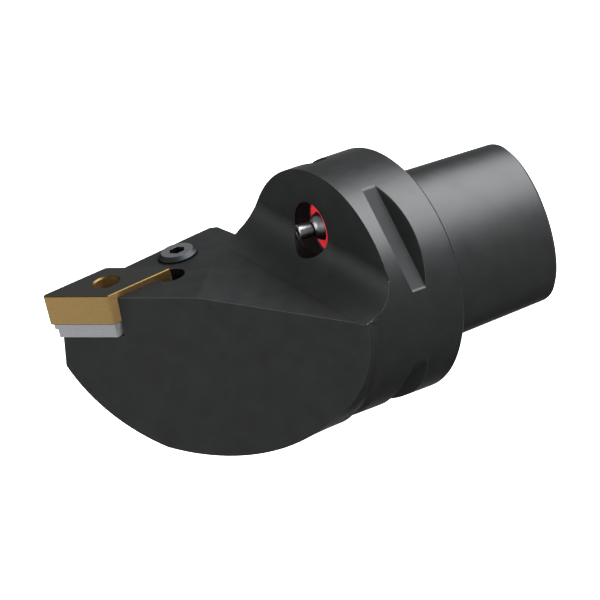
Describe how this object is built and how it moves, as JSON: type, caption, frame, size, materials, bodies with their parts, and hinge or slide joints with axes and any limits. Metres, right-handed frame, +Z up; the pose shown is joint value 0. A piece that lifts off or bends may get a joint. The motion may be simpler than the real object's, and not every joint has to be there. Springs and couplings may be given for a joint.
{
  "type": "turning tool holder",
  "caption": "Left-hand turning tool holder with a polygon taper shank, round flange, lever-locked rhombic insert on a shim and a swivelling coolant nozzle.",
  "frame": {"origin": "centre of the flange's gauge face, where the polygon taper shank meets the flange", "axes": "+X along the tool axis from the shank to the cutting end, +Z up on the rake side, +Y away from the cutting corner"},
  "size_m": [0.09, 0.06, 0.0558],
  "materials": {
    "black_oxide_steel": "satin black oxide",
    "coated_carbide": "gold coated sides with dark ground faces",
    "bare_carbide": "ground",
    "spring_steel": "satin",
    "dark_screw_steel": "satin",
    "red_anodised": "anodised",
    "bright_steel": "polished",
    "seal_rubber": "matte"
  },
  "bodies": {
    "holder": {"holder_body": "black_oxide_steel", "shim": "bare_carbide", "shim_sleeve": "spring_steel", "nozzle_ring": "red_anodised", "nozzle_seal": "seal_rubber"},
    "insert_body": {"insert": "coated_carbide"},
    "lever_body": {"lever": "spring_steel"},
    "screw": {"lever_screw": "dark_screw_steel"},
    "nozzle": {"nozzle_ball": "bright_steel", "nozzle_tube": "bright_steel"}
  },
  "joints": [
    {"name": "screw_travel", "type": "slide", "parent": "holder", "child": "screw", "axis": [0.1156, -0.1107, 0.9871], "range_m": [0, 0.00075]},
    {"name": "lever_tilt", "type": "hinge", "parent": "holder", "child": "lever_body", "pos_m": [0.04672, -0.02642, -0.01293], "axis": [0.0509, 0.9931, 0.1054], "range_deg": [0, 4]},
    {"name": "insert_lift", "type": "slide", "parent": "holder", "child": "insert_body", "axis": [0.1156, -0.1107, 0.9871], "range_m": [0, 0.01]},
    {"name": "nozzle_tilt", "type": "hinge", "parent": "holder", "child": "nozzle", "pos_m": [0.01343, -0.00256, 0.01264], "axis": [0.2267, 0.974, 0], "range_deg": [-10, 10]}
  ],
  "couplings": [
    {"joint": "lever_tilt", "follows": "screw_travel", "rad_per_m": 77.942}
  ]
}
